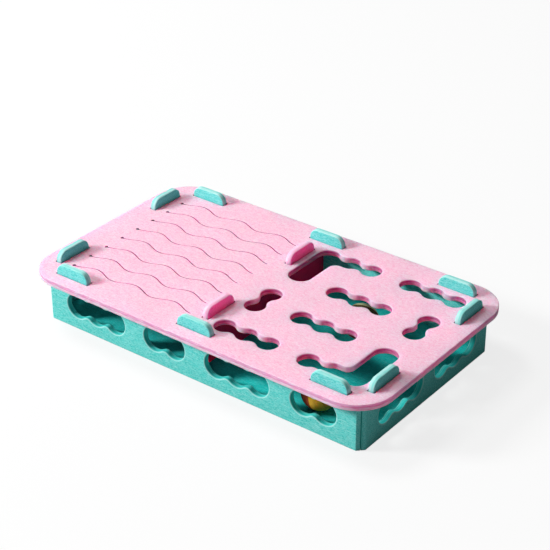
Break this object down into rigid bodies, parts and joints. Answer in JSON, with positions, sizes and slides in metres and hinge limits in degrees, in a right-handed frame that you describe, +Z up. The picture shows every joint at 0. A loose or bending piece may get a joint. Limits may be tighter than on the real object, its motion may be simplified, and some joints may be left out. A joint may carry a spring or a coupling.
{
  "type": "cat maze toy box",
  "caption": "Low soft-board box with lobed paw holes in its walls and lift-off top, wavy slits, a divider and loose balls that a cat fishes for.",
  "frame": {"origin": "on the ground under the middle of the box", "axes": "X along the long walls towards the paw-hole end, Y across the box from the front wall to the back wall, Z up"},
  "size_m": [0.4, 0.238, 0.0645],
  "materials": {
    "pink_felt": "needle-punched felt board, matt",
    "teal_felt": "needle-punched felt board, matt",
    "rainbow_foam": "closed-cell foam in coloured wedges, matt"
  },
  "bodies": {
    "box": {"front_wall": "teal_felt", "back_wall": "teal_felt", "left_wall": "teal_felt", "right_wall": "teal_felt", "divider": "pink_felt", "floor_panel": "teal_felt"},
    "lid": {"top_panel": "pink_felt"},
    "front_ball": {"front_ball": "rainbow_foam"},
    "rear_ball": {"rear_ball": "rainbow_foam"}
  },
  "joints": [
    {"name": "lid_lift", "type": "slide", "parent": "box", "child": "lid", "axis": [0, 0, 1], "range_m": [0, 0.06]},
    {"name": "front_ball_roll", "type": "slide", "parent": "box", "child": "front_ball", "axis": [1, 0, 0], "range_m": [-0.1055, 0.0395]},
    {"name": "rear_ball_roll", "type": "slide", "parent": "box", "child": "rear_ball", "axis": [0, 1, 0], "range_m": [-0.081, 0.04]}
  ]
}
